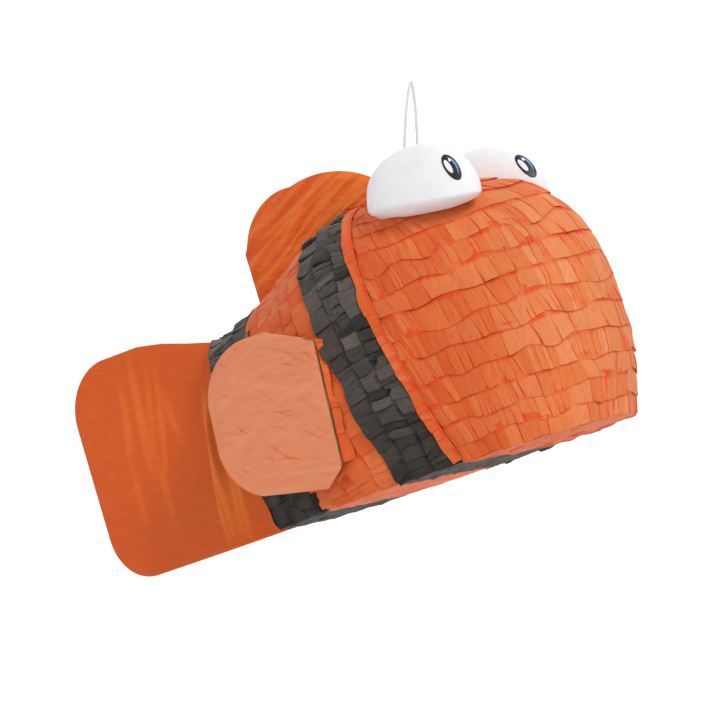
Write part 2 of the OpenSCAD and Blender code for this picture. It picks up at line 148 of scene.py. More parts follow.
# ---- Camera and cord ------------------------------------------------------------------------
def make_camera():
    data = bpy.data.cameras.new("camera")
    data.lens, data.sensor_width, data.clip_end = 110, 36, 50
    camera = bpy.data.objects.new("camera", data)
    camera.location = (1.0008, -1.5018, -0.0746)
    camera.rotation_euler = (math.radians(90 - 4.8), 0, math.radians(35))
    bpy.context.scene.collection.objects.link(camera)
    bpy.context.scene.camera = camera


make_camera()


# ---- Materials ------------------------------------------------------------------------------
class Nodes:
    """A Principled material with short calls for the nodes in front of it."""

    def __init__(self, name, **constants):
        self.material = bpy.data.materials.new(name)
        self.material.use_nodes = True
        self.tree = self.material.node_tree
        self.shader = self.tree.nodes["Principled BSDF"]
        for key, value in constants.items():
            self.shader.inputs[key.replace("_", " ")].default_value = value

    def link(self, value, socket):
        if hasattr(value, "is_output"):
            self.tree.links.new(value, socket)
        else:
            socket.default_value = value

    def node(self, kind, inputs=(), **settings):
        node = self.tree.nodes.new("ShaderNode" + kind)
        for key, value in settings.items():
            setattr(node, key, value)
        for key, value in dict(inputs).items():
            self.link(value, node.inputs[key])
        return node

    def attribute(self, name, output="Fac"):
        return self.node("Attribute", attribute_name=name).outputs[output]

    def place(self):
        return self.node("TexCoord").outputs["Object"]

    def math(self, operation, *values):
        node = self.node("Math", operation=operation)
        for value, socket in zip(values, node.inputs):
            self.link(value, socket)
        return node.outputs[0]

    def scaled(self, vector, scale):
        node = self.node("Mapping", {"Vector": vector, "Scale": scale})
        return node.outputs["Vector"]

    def noise(self, vector, scale, detail=3.0, rough=0.55):
        values = {"Vector": vector, "Scale": scale, "Detail": detail, "Roughness": rough}
        return self.node("TexNoise", values).outputs["Fac"]

    def span(self, value, low, high, to_low=0.0, to_high=1.0):
        values = {"Value": value, "From Min": low, "From Max": high}
        node = self.node("MapRange", {**values, "To Min": to_low, "To Max": to_high})
        return node.outputs["Result"]

    def mixed(self, share, a, b):
        node = self.node("Mix", data_type="RGBA", blend_type="MIX")
        self.link(share, node.inputs["Factor"])
        for value, socket in ((a, node.inputs[6]), (b, node.inputs[7])):
            self.link((*value, 1) if isinstance(value, tuple) else value, socket)
        return node.outputs[2]

    def shade(self, colour, by):
        """The colour, lighter or darker by a number near 1."""
        values = {"Hue": 0.5, "Saturation": 1.0, "Value": by, "Fac": 1.0, "Color": colour}
        return self.node("HueSaturation", values).outputs["Color"]

    def bump(self, height, distance, strength=1.0, before=None):
        values = {"Height": height, "Distance": distance, "Strength": strength}
        node = self.node("Bump", values)
        if before is not None:
            self.link(before, node.inputs["Normal"])
        return node.outputs["Normal"]

    def finish(self, colour, rough, normal):
        self.link(colour, self.shader.inputs["Base Color"])
        self.link(rough, self.shader.inputs["Roughness"])
        self.link(normal, self.shader.inputs["Normal"])
        return self.material


def crepe_material(name, light, middle, deep_shade, shaded_tones, shade_slopes, sheen=0.1, streak=0.1):
    """Creped paper. The attribute lay holds mm along and across a strip, the crease attribute is 1 in a
    crease, where shade is painted, and tone differs from pleat to pleat. Painted shade: the fifth
    argument, darker copies of light and middle, takes over where the sixth, a share along X and Z, comes
    to 1, low down."""
    m = Nodes(name, Sheen_Weight=sheen, Sheen_Roughness=0.45, Specular_IOR_Level=0.22)
    lay = m.attribute("lay", "Vector")
    streaks = m.noise(m.scaled(lay, (0.9, 0.05, 0.3)), 1.0, 4.0, 0.65)
    fine = m.noise(m.scaled(lay, (2.6, 0.22, 0.7)), 1.0, 2.0, 0.6)
    fade = m.noise(m.place(), 14.0, 3.0)
    tone = m.attribute("tone")
    depth = m.attribute("depth")
    # Painted shade: a share that rises towards the underside, and for the orange also towards the rear,
    # swaps in the darker copies of the colours
    place = m.node("SeparateXYZ", {"Vector": m.place()})
    low = m.math("MULTIPLY_ADD", place.outputs["Z"], shade_slopes[1], shade_slopes[2])
    low = m.math("MULTIPLY_ADD", place.outputs["X"], shade_slopes[0], low)
    share = m.span(low, 0.0, 1.0)
    colour = m.mixed(share, m.mixed(tone, middle, light), m.mixed(tone, shaded_tones[1], shaded_tones[0]))
    patchy = m.noise(m.scaled(lay, (0.35, 0.16, 0.3)), 1.0, 3.0, 0.6)
    # Random red patches are the paper's own colour; they reuse the deep crease-shade colour
    colour = m.mixed(m.span(patchy, 0.52, 0.75, 0.0, 0.35), colour, deep_shade)
    # Painted crease shade: the colour turns deep in the creases and under the row above, more so in some
    # patches
    fold = m.math("MULTIPLY", depth, m.span(patchy, 0.3, 0.7, 0.55, 1.15))
    colour = m.mixed(m.span(fold, 0.1, 1.0), colour, deep_shade)
    by = m.math("ADD", m.span(streaks, 0.3, 0.7, 1 - streak, 1 + streak), -0.5)
    by = m.math("ADD", by, m.span(fade, 0.3, 0.7, 0.44, 0.56))
    colour = m.shade(colour, by)
    normal = m.bump(fine, 0.0002, 0.7)
    normal = m.bump(streaks, 0.0008, 0.6, normal)
    return m.finish(colour, m.span(fine, 0.3, 0.7, 0.62, 0.85), normal)


def tissue_material(name, light, middle, deep_shade):
    """Smooth tissue paper stuck to card, finely crinkled. The crease attribute is 1 at the foot of a
    wrinkle: painted shade there, painted highlight on the ridges.
    """
    m = Nodes(name, Sheen_Weight=0.05, Sheen_Roughness=0.4, Specular_IOR_Level=0.25)
    lay = m.attribute("lay", "Vector")
    web = m.node("TexVoronoi", {"Vector": lay, "Scale": 0.11}, feature="DISTANCE_TO_EDGE")
    web = m.span(web.outputs["Distance"], 0.0, 0.16)
    long_folds = m.noise(m.scaled(lay, (0.05, 0.28, 0.1)), 1.0, 5.0, 0.6)
    fibre = m.noise(lay, 1.6, 3.0, 0.7)
    fade = m.noise(m.place(), 9.0, 3.0)
    # Painted highlight and shade: light on the folds' ridges, middle between, deep at the foot of a
    # wrinkle
    colour = m.mixed(m.span(m.attribute("depth"), 0.15, 0.85), light, middle)
    colour = m.mixed(m.span(m.attribute("depth"), 0.6, 1.0), colour, deep_shade)
    # The fold noise also lightens the tissue where it raises the bump: a faint painted highlight along
    # the folds
    by = m.math("ADD", m.span(long_folds, 0.3, 0.7, 0.44, 0.56), m.span(fade, 0.3, 0.7, 0.46, 0.54))
    colour = m.shade(colour, by)
    normal = m.bump(fibre, 0.00015, 0.6)
    normal = m.bump(web, 0.0004, 0.5, normal)
    normal = m.bump(long_folds, 0.0016, 0.6, normal)
    return m.finish(colour, m.span(fibre, 0.3, 0.7, 0.5, 0.68), normal)


def white_paper_material():
    m = Nodes("white_paper", Sheen_Weight=0.1, Specular_IOR_Level=0.35)
    place = m.place()
    folds = m.noise(place, 55.0, 4.0, 0.6)
    fibre = m.noise(place, 900.0, 3.0, 0.7)
    colour = m.mixed(m.span(folds, 0.3, 0.75), (0.89, 0.89, 0.91), (0.95, 0.95, 0.965))
    normal = m.bump(fibre, 0.0001, 0.5)
    normal = m.bump(folds, 0.0012, 0.35, normal)
    return m.finish(colour, m.span(fibre, 0.3, 0.7, 0.55, 0.72), normal)


def card_material():
    """Plain brown corrugated card, with faint flutes and flecks."""
    m = Nodes("brown_card", Specular_IOR_Level=0.25)
    place = m.place()
    flutes = m.node("TexWave", {"Vector": place, "Scale": 45.0, "Distortion": 1.5, "Detail": 2.0})
    fleck = m.noise(place, 420.0, 4.0, 0.7)
    colour = m.mixed(m.span(fleck, 0.35, 0.7), (0.36, 0.22, 0.11), (0.47, 0.31, 0.17))
    normal = m.bump(fleck, 0.0001, 0.6)
    normal = m.bump(flutes.outputs["Fac"], 0.0003, 0.3, normal)
    return m.finish(colour, m.span(fleck, 0.3, 0.7, 0.75, 0.92), normal)


def pulp_material():
    """Moulded paper pulp: lumpy and grey-brown."""
    m = Nodes("moulded_paper", Specular_IOR_Level=0.2)
    place = m.place()
    lumps = m.noise(place, 160.0, 5.0, 0.65)
    fibre = m.noise(m.scaled(place, (1, 1, 2.5)), 700.0, 4.0, 0.75)
    colour = m.mixed(m.span(lumps, 0.3, 0.7), (0.33, 0.28, 0.22), (0.45, 0.39, 0.31))
    normal = m.bump(fibre, 0.0003, 0.6)
    normal = m.bump(lumps, 0.0012, 0.6, normal)
    return m.finish(colour, m.span(fibre, 0.3, 0.7, 0.8, 0.97), normal)


def string_material():
    m = Nodes("cotton_string", Sheen_Weight=0.4, Specular_IOR_Level=0.2)
    place = m.place()
    fuzz = m.noise(place, 2400.0, 3.0, 0.7)
    colour = m.mixed(m.span(fuzz, 0.3, 0.7), (0.70, 0.69, 0.67), (0.86, 0.855, 0.84))
    return m.finish(colour, m.span(fuzz, 0.3, 0.7, 0.75, 0.95), m.bump(fuzz, 0.0002, 0.6))


def wood_material():
    m = Nodes("beech_rod", Specular_IOR_Level=0.35)
    place = m.place()
    grain = m.noise(m.scaled(place, (600, 25, 600)), 1.0, 5.0, 0.6)
    colour = m.mixed(m.span(grain, 0.3, 0.7), (0.46, 0.30, 0.16), (0.64, 0.47, 0.29))
    return m.finish(colour, m.span(grain, 0.3, 0.7, 0.5, 0.7), m.bump(grain, 0.0002, 0.5))


def print_material():
    """A printed paper eye: a black oval, a pale highlight on one side and a blue crescent."""
    m = Nodes("printed_eye", Specular_IOR_Level=0.5)
    lay = m.node("SeparateXYZ", {"Vector": m.attribute("lay", "Vector")})
    x, y = lay.outputs["X"], lay.outputs["Y"]

    def oval(cx, cy, rx, ry, edge=0.04):
        dx = m.math("DIVIDE", m.math("SUBTRACT", x, cx), rx)
        dy = m.math("DIVIDE", m.math("SUBTRACT", y, cy), ry)
        away = m.math("SQRT", m.math("ADD", m.math("MULTIPLY", dx, dx), m.math("MULTIPLY", dy, dy)))
        return m.span(away, 1 + edge, 1 - edge)

    beside = m.math("SUBTRACT", 1.0, oval(-0.32, 0.0, 0.86, 0.9))
    iris = m.math("MINIMUM", oval(0.0, 0.02, 0.80, 0.72), beside)
    fade = m.mixed(m.span(y, -0.7, 0.8), (0.08, 0.25, 0.55), (0.22, 0.50, 0.93))
    speck = m.noise(m.place(), 1500.0, 2.0)
    colour = m.mixed(iris, (0.012, 0.012, 0.018), fade)
    colour = m.mixed(oval(-0.34, 0.12, 0.36, 0.52), colour, (0.88, 0.88, 0.9))
    colour = m.mixed(oval(0.30, 0.46, 0.16, 0.13), colour, (0.85, 0.88, 0.92))
    return m.finish(colour, m.span(speck, 0.3, 0.7, 0.38, 0.5), m.bump(speck, 0.00006, 0.4))


# Each gives light, middle and deep crease-shade colours, then darker copies and the X/Z share where they
# take over: painted shade low down, for the orange also towards the rear
ORANGE = crepe_material(
    "orange_crepe", (0.82, 0.30, 0.12), (0.76, 0.19, 0.048), (0.80, 0.055, 0.009),
    ((0.80, 0.185, 0.05), (0.72, 0.105, 0.016)), (-8.0, -5.0, 0.58), streak=0.09,
)
DARK = crepe_material(
    "dark_crepe", (0.125, 0.105, 0.088), (0.03, 0.025, 0.02), (0.003, 0.0025, 0.002),
    ((0.045, 0.038, 0.032), (0.012, 0.010, 0.008)), (0.0, -14.0, -3.43), 0.12, 0.2,
)
FIN_TISSUE = tissue_material(
    "orange_tissue", (0.84, 0.175, 0.024), (0.77, 0.115, 0.01), (0.55, 0.045, 0.004)
)
PALE_TISSUE = tissue_material(
    "pale_orange_tissue", (0.84, 0.31, 0.16), (0.80, 0.235, 0.10), (0.72, 0.10, 0.025)
)
WHITE = white_paper_material()
CARD = card_material()
PULP = pulp_material()
STRING = string_material()
WOOD = wood_material()
PRINT = print_material()


# ---- Mesh building --------------------------------------------------------------------------
WELD = 1e-6  # points nearer than this, in metres, become one


class Mesh:
    """Gathers grids of points, in mm in the fish's frame, into one mesh with its attributes."""

    def __init__(self):
        self.points, self.faces, self.values, self.count = [], [], {}, 0

    def grid(self, p, outward, keep=None, **values):
        """outward is a vector field that the faces should look along. keep masks the faces."""
        rows, cols = p.shape[:2]
        i, j = np.meshgrid(np.arange(rows - 1), np.arange(cols - 1), indexing="ij")
        a = i * cols + j
        faces = np.stack([a, a + 1, a + cols + 1, a + cols], -1)
        across = np.cross(p[:-1, 1:] - p[:-1, :-1], p[1:, :-1] - p[:-1, :-1])
        if float((across * outward[:-1, :-1]).sum()) < 0:
            faces = faces[..., ::-1]
        faces = faces.reshape(-1, 4)
        if keep is not None:
            faces = faces[keep.reshape(-1)]
        self.points.append(p.reshape(-1, 3))
        self.faces.append(faces + self.count)
        self.count += rows * cols
        for key, value in values.items():
            self.values.setdefault(key, []).append(value.reshape(rows * cols, -1))

    def make(self, name, material, body, slot, *nodes, weld=0.0):
        points, faces = hung(np.concatenate(self.points)), np.concatenate(self.faces)
        used, index = np.unique(faces, return_inverse=True)
        faces = index.reshape(faces.shape)
        data = bpy.data.meshes.new(name)
        data.from_pydata(points[used].tolist(), [], faces.tolist())
        for key, parts in self.values.items():
            value = np.concatenate(parts)[used].astype(np.float32)
            if value.shape[1] == 1:
                data.attributes.new(key, "FLOAT", "POINT").data.foreach_set("value", value.ravel())
            else:
                layer = data.attributes.new(key, "FLOAT_VECTOR", "POINT")
                layer.data.foreach_set("vector", value.ravel())
        data.polygons.foreach_set("use_smooth", np.ones(len(data.polygons), bool))
        data.materials.append(material)
        if weld:
            joined = bmesh.new()
            joined.from_mesh(data)
            bmesh.ops.remove_doubles(joined, verts=joined.verts, dist=weld)
            joined.to_mesh(data)
            joined.free()
        data.update()
        obj = bpy.data.objects.new(name, data)
        bpy.context.scene.collection.objects.link(obj)
        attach(obj, body)
        if nodes:
            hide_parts(*nodes)
        return obj


def ripple(rng, x, y, scale, waves=9):
    """Smooth noise, about -1 to 1, that changes over roughly scale mm."""
    total = 0.0
    for _ in range(waves):
        a, k = rng.uniform(0, 2 * math.pi), 2 * math.pi / (scale * rng.uniform(0.8, 2.2))
        total = total + np.sin(k * (x * math.cos(a) + y * math.sin(a)) + rng.uniform(0, 2 * math.pi))
    return total / math.sqrt(waves)


# ---- String loop ----------------------------------------------------------------------------
def catmull(points, steps):
    """A smooth line through the points."""
    p = np.array(points, float)
    n = len(p) - 1
    line = []
    for k in range(n):
        a, b, c, d = p[max(k - 1, 0)], p[k], p[k + 1], p[min(k + 2, n)]
        for u in np.arange(steps) / steps:
            square, cube = 2 * a - 5 * b + 4 * c - d, 3 * b - a - 3 * c + d
            line.append(0.5 * (2 * b + (c - a) * u + square * u**2 + cube * u**3))
    return np.array(line + [p[n]])


def string_loop():
    """Three twisted strands, from one hole in the crown up over the hook and down to the other."""
    leg = [
        (LEG_Y, 0.8 - LOOP_H),
        (LEG_Y + 1, -0.71 * LOOP_H),
        (LEG_Y, -0.47 * LOOP_H),
        (0.75 * LEG_Y, -0.24 * LOOP_H),
        (0.42 * LEG_Y, -0.08 * LOOP_H),
    ]
    foot = (0, LEG_Y, -2.2 - LOOP_H)
    route = [(0, -foot[1], foot[2])] + [(0, -y, z) for y, z in leg]
    route += [(0, 0, STRING_D / 2)] + [(0, y, z) for y, z in leg[::-1]] + [foot]
    line = catmull(route, 24)
    step = np.linalg.norm(np.diff(line, axis=0), axis=1)
    along = np.concatenate([[0], np.cumsum(step)])
    run = np.gradient(line, axis=0)
    run /= np.linalg.norm(run, axis=1)[:, None]
    side = np.array([1.0, 0, 0])
    across = np.cross(side, run)
    sides = 18
    a = 2 * math.pi * np.arange(sides + 1) / sides
    twist = along[:, None] * 2 * math.pi / 7.5
    radius = STRING_D * (0.53 - 0.085 * np.abs(np.sin(1.5 * (a[None] - twist))) ** 0.8)
    ring = np.cos(a)[None, :, None] * side + np.sin(a)[None, :, None] * across[:, None]
    points = (line[:, None] + radius[..., None] * ring) / 1000
    rows, cols = points.shape[:2]
    faces = [
        (i * cols + j, i * cols + k, (i + 1) * cols + k, (i + 1) * cols + j)
        for i in range(rows - 1)
        for j, k in zip(range(sides), [*range(1, sides), 0])
    ]
    faces += [tuple(range(sides))[::-1], tuple((rows - 1) * cols + j for j in range(sides))]
    flat = points.reshape(-1, 3)
    used = sorted({v for f in faces for v in f})
    renumber = {v: k for k, v in enumerate(used)}
    data = bpy.data.meshes.new("string_loop")
    data.from_pydata(flat[used].tolist(), [], [[renumber[v] for v in f] for f in faces])
    data.polygons.foreach_set("use_smooth", [len(f) == 4 for f in faces])
    data.materials.append(STRING)
    data.update()
    loop = bpy.data.objects.new("string_loop", data)
    bpy.context.scene.collection.objects.link(loop)
    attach(loop, "loop")
    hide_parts("hang_loop")


string_loop()

# ---- Crepe strips ---------------------------------------------------------------------------
# One knife pleat: mm from its start or share of its width, share of its height, overhang in mm,
# painted crease shade (1 is darkest)
STEP = np.array(
    [
        [0.0, 0.0, 0.0, 1.0],
        [0.3, 0.3, -0.2, 1.0],
        [0.65, 0.85, -0.5, 0.7],
        [1.15, 1.0, -0.2, 0.12],
    ]
)
STEP_SHARE = np.array([0.0, 0.11, 0.2, 0.32])
SLOPE = np.array(
    [
        [0.40, 0.94, 0.0, 0.0],
        [0.55, 0.82, 0.0, 0.0],
        [0.70, 0.62, 0.0, 0.0],
        [0.85, 0.36, 0.0, 0.04],
        [0.94, 0.14, 0.0, 0.15],
    ]
)
ACROSS = np.array([-0.16, 0.0, 0.07, 0.16, 0.28, 0.42, 0.56, 0.70, 0.82, 0.91, 0.97, 1.0])


def tab_edges(run, rng, mean, spread, low, high):
    """Where the pleats begin and end along a run. Narrow ones come in clusters."""
    edges, x = [0.0], rng.normal()
    while edges[-1] < run:
        x = 0.6 * x + 0.8 * rng.normal()
        edges.append(edges[-1] + float(np.clip(mean * math.exp(spread * x), low, high)))
    edges = np.array(edges)
    return edges * run / edges[-1]


def pleated(
    mesh, place, run, width, rng, mean=6.5, spread=0.7, low=1.8, high=26.0, amp=(0.25, 1.1),
    flare=(0.1, 0.75), overlap=2.4, rise=0.35, lean=0.0, wild=0.9, ease=None,
):
    """One strip of crepe: place(u, v, h) gives a point u mm along it, v mm below its glued edge and
    h mm above the skin. ease(u, v) is 1 where it is free and 0 where it has to lie flat."""
    edges = tab_edges(run, rng, mean, spread, low, high)
    size = np.diff(edges)
    n = len(size)
    turned = rng.rand(n) < 0.22
    height = rng.uniform(*amp, n) * np.clip(size / 7.0, 0.6, 1.3)
    tone = np.clip(rng.normal(0.5, 0.26, n), 0, 1)
    jitter = rng.normal(0, 0.16, n)
    pillow = rng.uniform(-0.3, 0.5, n) * np.clip(size / 8.0, 0.3, 1.2)
    steps = np.broadcast_to(STEP, (n, *STEP.shape)).copy()
    steps[..., 0] = np.minimum(STEP[:, 0] / size[:, None], STEP_SHARE)
    slope = np.broadcast_to(SLOPE, (n, *SLOPE.shape)).copy()
    foot = np.tile([1.0, 0.03, 0.0, 0.8], (n, 1, 1))
    foot[..., 0, 0] = 1 - np.minimum(0.3 / size, 0.04)
    shape = np.concatenate([steps, slope, foot], 1)
    shape = np.where(turned[:, None, None], shape[:, ::-1] * [-1, 1, -1, 1] + [1, 0, 0, 0], shape)
    u = (edges[:-1, None] + shape[..., 0] * size[:, None]).ravel()
    lift = (height[:, None] * shape[..., 1] + pillow[:, None] * sind(180 * shape[..., 0])).ravel()
    hang = (shape[..., 2] * np.clip(size / 8.0, 0.4, 1.0)[:, None]).ravel()
    crease = shape[..., 3].ravel()
    k = np.repeat(np.arange(n), shape.shape[1])
    u, lift, hang = np.append(u, run), np.append(lift, 0.0), np.append(hang, 0.0)
    crease, k = np.append(crease, 1.0), np.append(k, n - 1)

    q = ACROSS[:, None]
    opened = 0.5 + 0.5 * np.clip(q, 0, 1)
    slant = lean + 0.10 * ripple(rng, u, 0 * u, 40) + 0.06 * ripple(rng, u, 0 * u, 17)
    uu = u + hang * opened + slant * (q - 0.5) * width + 0.9 * ripple(rng, u, q * width, 22)
    fold = np.clip(0.75 + 0.45 * ripple(rng, u, q * width, 15), 0.15, 1.3)
    late = smooth((q - 0.55) / 0.45)
    wave = 1.3 * ripple(rng, u, 0 * u, 30) + jitter[k]
    vv = q * width + (overlap + wave) * late
    loose = mix(flare[0], flare[1], 0.5 + 0.5 * ripple(rng, u, 0 * u, 30)) + 0.25 * jitter[k]
    free = 1.0 if ease is None else ease(uu, vv)
    h = 0.3 + rise * np.clip(q * 4 + 0.6, 0, 1) + free * (
        lift * opened * fold + np.clip(loose, 0.35, None) * np.clip(q, 0, 1) ** 2.4
        + wild * (0.45 * ripple(rng, uu, vv, 26) + 0.16 * ripple(rng, uu, vv, 8))
    )
    h = np.maximum(h, 0.12)
    if ease is not None:
        vv = np.minimum(vv, mix(width - 0.2, vv, free))
    # The free edge turns in, and a hem behind it closes the step down to the next strip
    tucks = ((0.75, 0.15), (0.25, 0.9))
    for keep, back in tucks:
        vv = np.concatenate([vv, vv[len(ACROSS) - 1 : len(ACROSS)] - back])
        uu = np.concatenate([uu, uu[len(ACROSS) - 1 : len(ACROSS)]])
        h = np.concatenate([h, np.maximum(h[len(ACROSS) - 1 : len(ACROSS)] * keep, 0.1)])
    # Painted shade: the strip's top just under the edge of the strip above, its creases and the hem
    # behind its free edge take the deep colour
    top = smooth((0.27 - q) / 0.13) * np.clip(0.75 + 0.4 * ripple(rng, u, 0 * u, 11), 0.2, 1.0)
    depth = np.maximum(crease * (0.5 + 0.5 * opened) * np.clip(fold, 0.3, 1.0), top)
    depth = np.concatenate([depth, depth[-1:] * 0 + 0.85, depth[-1:] * 0 + 1.0])
    seed = rng.uniform(0, 500)
    p = place(uu, vv, h)
    mesh.grid(
        p,
        place(uu, vv, h + 1) - p,
        lay=stack(uu + seed, vv, 0 * uu + seed),
        depth=depth,
        tone=np.broadcast_to(tone[k], uu.shape),
    )


def arc_table(points):
    """Distances along a line of points."""
    return np.concatenate([[0], np.cumsum(np.linalg.norm(np.diff(points, axis=0), axis=1))])


def wander(rng, count, turns, size):
    """How far each line between strips strays, in mm, as functions of the share round the strip.
    The first and the last line are straight."""
    lines = []
    for k in range(count + 1):
        waves = [
            (rng.randint(2, turns), rng.uniform(0, 2 * math.pi), rng.uniform(0.3, 1.0))
            for _ in range(6)
        ]
        tall = 0.0 if k in (0, count) else size / math.sqrt(3)

        def line(share, waves=waves, tall=tall):
            return tall * sum(a * np.sin(2 * math.pi * f * share + b) for f, b, a in waves)

        lines.append(line)
    return lines


# Body strips run right round the body, glued at their front edge
def body_strips(mesh, s0, s1, count, seed, stray=1.9, **looks):
    rng = np.random.RandomState(seed)
    w = np.linspace(-1, 3, 801)
    length = HEAD_X - REAR_X
    cuts = np.linspace(s1, s0, count + 1)
    lines = wander(np.random.RandomState(seed + 500), count, 14, stray)
    for k, (front, back) in enumerate(zip(cuts[:-1], cuts[1:])):
        middle = (front + back) / 2
        table = arc_table(body_ring(middle, w, 0.0))
        width = (front - back) * length

        def place(u, v, h, k=k, front=front, table=table, width=width):
            around = np.interp(u, table, w)
            share = (around + 1) / 4
            near, far = lines[k](share), lines[k + 1](share)
            s = front - (v * (1 + (far - near) / width) + near) / length
            return body_ring(np.clip(s, -0.004, 1.0), around, h)

        def ease(u, v, front=front, table=table):
            around = np.interp(u, table, w)
            under = smooth(np.minimum(around + 0.03, 2.03 - around) / 0.08)
            ridge = smooth((np.abs(around - 1) - 0.01) / 0.05)
            edged = smooth(((1 - front) * length + v - STRIP_W + 2) / 5.0)
            return (0.45 + 0.55 * under) * (0.35 + 0.65 * ridge) * (0.15 + 0.85 * edged)

        pleated(mesh, place, float(table[-1]), width, rng, ease=ease, **looks)


# Head rows run round the head from band to band, glued at their upper edge
def head_rows(
    mesh, t0, t1, count, seed, phi0=90.0, phi1=-90.0, ease=None, line_phi=90.0, stray=2.2, **looks
):
    """The rows are equally wide where phi is line_phi."""
    rng = np.random.RandomState(seed)
    t = np.linspace(0, 1, 801)
    climb = arc_table(head_pt(line_phi, t, 0.0))
    low, high = np.interp([t0, t1], t, climb)
    cuts = np.linspace(high, low, count + 1)
    phi = np.linspace(phi0, phi1, 801)
    lines = wander(np.random.RandomState(seed + 500), count, 9, stray * min(1.0, abs(phi0 - phi1) / 90))
    for k, (top, foot) in enumerate(zip(cuts[:-1], cuts[1:])):
        middle = np.interp((top + foot) / 2, climb, t)
        table = arc_table(head_pt(phi, middle, 0.0))

        def climbed(u, v, k=k, top=top, foot=foot, table=table):
            share = u / table[-1]
            near, far = lines[k](share), lines[k + 1](share)
            return np.interp(top + near - v * (1 + (near - far) / (top - foot)), climb, t)

        def place(u, v, h, table=table, climbed=climbed):
            return head_pt(np.interp(u, table, phi), climbed(u, v), h)

        def local(u, v, table=table, climbed=climbed):
            around = np.interp(u, table, phi)
            end = smooth((np.minimum(u, table[-1] - u) - 2.0) / 6.0) if abs(phi0 - phi1) > 170 else 1.0
            share = 0.15 + 0.85 * end
            return share if ease is None else share * ease(around, climbed(u, v))

        pleated(mesh, place, float(table[-1]), top - foot, rng, ease=local, **looks)


def by_hinge(phi, t):
    """0 just above the filling flap's hinge, so that nothing hangs over the flap."""
    across = smooth((phi - FLAP_PHI[0]) / 3) + smooth((FLAP_PHI[1] - phi) / 3)
    return np.clip(across + smooth((t - FLAP_T[1] - 0.015) / 0.03), 0, 1)


def flap_free(phi, t):
    """0 along the flap's own upper edge, where it turns on its hinge."""
    return smooth((FLAP_T[1] - t) / 0.04)


def by_string(phi, t):
    """0 round the two holes of the string."""
    p = head_pt(phi, t, 0.0)
    x, y = p[..., 0] - HANG_X, p[..., 1]
    away = np.minimum(np.hypot(x, y - LEG_Y), np.hypot(x, y + LEG_Y))
    return smooth((away - 3.0) / 6.0)


HEAD_LOOKS = dict(lean=0.12)
BAND_LOOKS = dict(mean=6.0, amp=(0.9, 2.8), flare=(0.6, 1.8), wild=1.5)
GAP_PHI, GAP_T = 0.75, 0.0036


def crepe_covers():
    cheek = Mesh()
    head_rows(cheek, 0.0, FLAP_T[0], 3, 11, **HEAD_LOOKS)
    head_rows(cheek, *FLAP_T, 4, 12, 90.0, FLAP_PHI[0], **HEAD_LOOKS)
    head_rows(cheek, *FLAP_T, 4, 13, FLAP_PHI[1], -90.0, **HEAD_LOOKS)
    head_rows(cheek, FLAP_T[1], FACE_T, 3, 14, ease=by_hinge, **HEAD_LOOKS)
    cheek.make("cheek_crepe_rows", ORANGE, "fish", "orange_crepe", "cheek_crepe")
    crown = Mesh()
    head_rows(crown, FACE_T, 1.0, 6, 15, ease=by_string, line_phi=50.0, **HEAD_LOOKS)
    crown.make("crown_crepe_rows", ORANGE, "fish", "orange_crepe", "crown_crepe")
    flap = Mesh()
    head_rows(
        flap, FLAP_T[0] + GAP_T, FLAP_T[1] - GAP_T, 4, 16, FLAP_PHI[0] - GAP_PHI, FLAP_PHI[1] + GAP_PHI,
        ease=flap_free, overlap=0.0, **HEAD_LOOKS,
    )
    flap.make("flap_crepe_rows", ORANGE, "flap", "orange_crepe", "filling_flap_crepe")

    rear = Mesh()
    body_strips(rear, 0.0, REAR_BAND_END, 3, 21, **BAND_LOOKS)
    rear_end_strips(rear)
    rear.make("rear_band_strips", DARK, "fish", "dark_crepe", "rear_band_crepe")
    middle = Mesh()
    body_strips(middle, REAR_BAND_END, FRONT_BAND_START, 5, 22, mean=8.0)
    middle.make("middle_strips", ORANGE, "fish", "orange_crepe", "middle_crepe")
    front = Mesh()
    body_strips(front, FRONT_BAND_START, 1.0, 3, 23, **BAND_LOOKS)
    front.make("front_band_strips", DARK, "fish", "dark_crepe", "front_band_crepe")
    edging()
    head_base()


def rear_end_strips(mesh):
    """Flat strips over the closed rear end, from side to side."""
    rng = np.random.RandomState(31)
    t_all = np.linspace(0, 1, 400)
    section = body_pt(0.0, t_all, SKIN)
    lean = math.hypot(1, REAR_LEAN)
    for k in range(9):
        top, width = REAR_H - 1.5 - k * 19.2, 19.2
        middle = max(top - width / 2, 1.0)
        run = 2 * float(np.interp(middle, section[:, 2], -section[:, 1]))

        def place(u, v, h, top=top, run=run):
            z = np.clip(top - v, 0.2, REAR_H)
            half = np.interp(z, section[:, 2], -section[:, 1])
            x = REAR_X - REAR_LEAN * z - (h + 0.05) / lean
            return stack(x, (1 - 2 * u / run) * half, z - (h + 0.05) * REAR_LEAN / lean)

        pleated(
            mesh, place, run, width, rng, amp=(0.2, 0.6), flare=(0.2, 0.6), overlap=1.0, rise=0.1,
            wild=0.2,
        )


def edging():
    """The narrow strip over the join of the front band and the head, on both sides of the ridge."""
    rng = np.random.RandomState(41)
    length = HEAD_X - REAR_X
    mesh = Mesh()
    for sign in (1, -1):
        w = np.linspace(0.012, 0.95, 401)
        table = arc_table(body_ring(1.0, w, 0.0))

        def place(u, v, h):
            p = body_ring(1.0 + (1.2 - v) / length, np.interp(u, table, w), h + 1.5)
            return p if sign > 0 else flip(p)

        pleated(
            mesh, place, float(table[-1]), STRIP_W + 1.2, rng, mean=11, amp=(0.2, 0.9), flare=(0.1, 0.5),
            overlap=0.2, rise=0.4, wild=0.5,
        )
    mesh.make("band_edging", ORANGE, "fish", "orange_crepe", "band_edge_strip")


